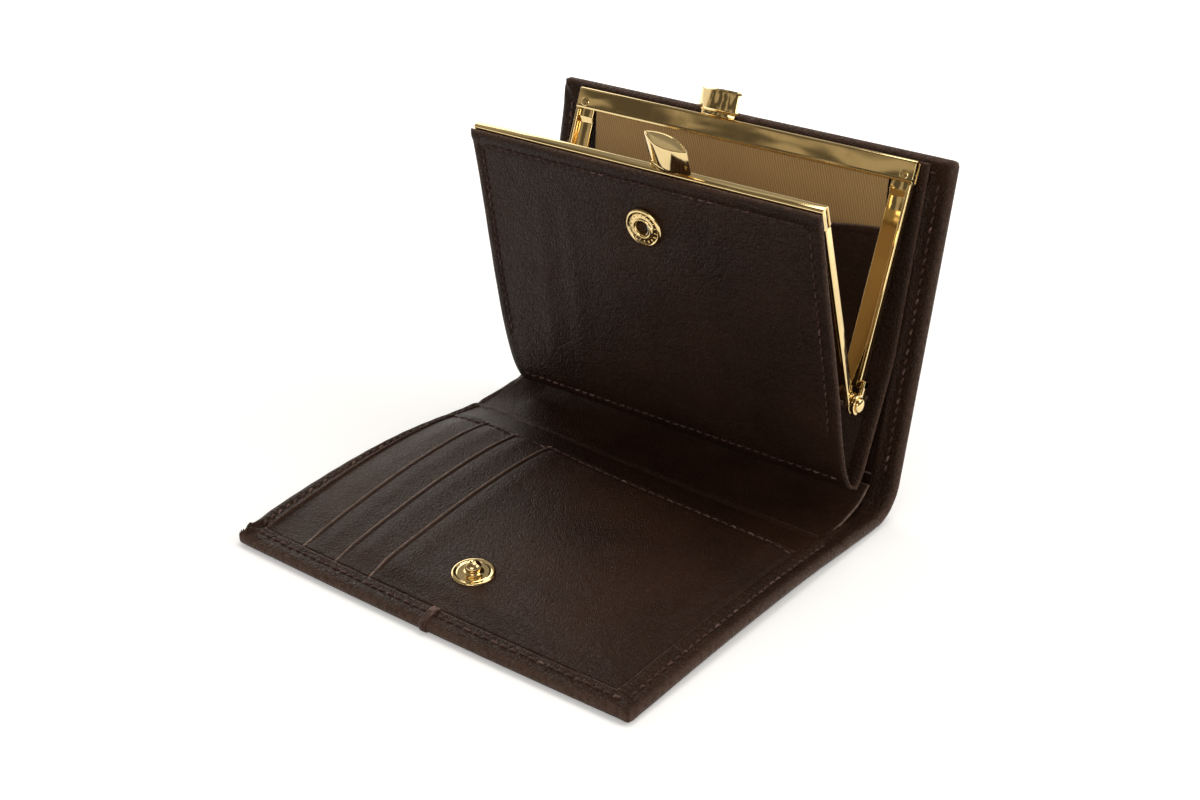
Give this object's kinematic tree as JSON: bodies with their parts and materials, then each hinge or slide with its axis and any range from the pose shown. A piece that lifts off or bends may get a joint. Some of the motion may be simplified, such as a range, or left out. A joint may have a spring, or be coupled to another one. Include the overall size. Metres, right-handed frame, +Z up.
{
  "type": "kiss lock frame purse",
  "caption": "Compact folding leather wallet, open: card flap with press stud, curved spine, back panel with a metal framed kiss lock coin purse and press socket.",
  "frame": {"origin": "middle of the card flap's flat underside, on the surface that the purse rests on", "axes": "+Z up, +X along the spine to the right as the card side is read, +Y from the flap's front edge to the back panel"},
  "size_m": [0.115, 0.1252, 0.0943],
  "materials": {
    "outer_leather": "dark brown pebbled leather, soft sheen",
    "inner_leather": "dark brown smooth grained leather",
    "twill": "tan ribbed twill lining",
    "gilt_metal": "polished pale gold plating",
    "spring_steel": "bright wire",
    "board": "fibre board and paper cord, hidden"
  },
  "bodies": {
    "flap": {"flap_cover": "outer_leather", "flap_board": "board", "card_base": "inner_leather", "card_panel_1": "inner_leather", "card_panel_2": "inner_leather", "pocket_panel": "inner_leather", "hinge_strip": "inner_leather", "snap_stud": "gilt_metal", "stud_anchor": "gilt_metal"},
    "spine": {"spine_cover": "outer_leather", "floor_leather": "inner_leather"},
    "back": {"back_cover": "outer_leather", "back_board": "board", "bill_lining": "inner_leather", "bill_divider": "inner_leather", "purse_shell": "outer_leather", "gusset_left": "inner_leather", "gusset_right": "inner_leather", "lining_rear": "twill", "slip_pocket": "inner_leather", "frame_bar_rear": "gilt_metal", "frame_arm_rear_left": "gilt_metal", "frame_arm_rear_right": "gilt_metal", "frame_cord_rear": "board", "clasp_rear": "gilt_metal", "hinge_rivet_left": "gilt_metal", "hinge_rivet_right": "gilt_metal"},
    "purse_front": {"purse_front_wall": "outer_leather", "lining_front": "twill", "frame_bar_front": "gilt_metal", "frame_arm_front_left": "gilt_metal", "frame_arm_front_right": "gilt_metal", "frame_cord_front": "board", "clasp_front": "gilt_metal", "snap_socket": "gilt_metal", "snap_spring": "spring_steel", "snap_cap": "gilt_metal"}
  },
  "joints": [
    {"name": "fold_front", "type": "hinge", "parent": "flap", "child": "spine", "pos_m": [0, 0.0425, 0.0006], "axis": [1, 0, 0], "range_deg": [0, 30]},
    {"name": "fold_rear", "type": "hinge", "parent": "spine", "child": "back", "pos_m": [0, 0.058, 0.0006], "axis": [1, 0, 0], "range_deg": [-30, 35]},
    {"name": "frame_hinge", "type": "hinge", "parent": "back", "child": "purse_front", "pos_m": [0, 0.05621, 0.03255], "axis": [-1, 0, 0], "range_deg": [-10, 40]}
  ]
}
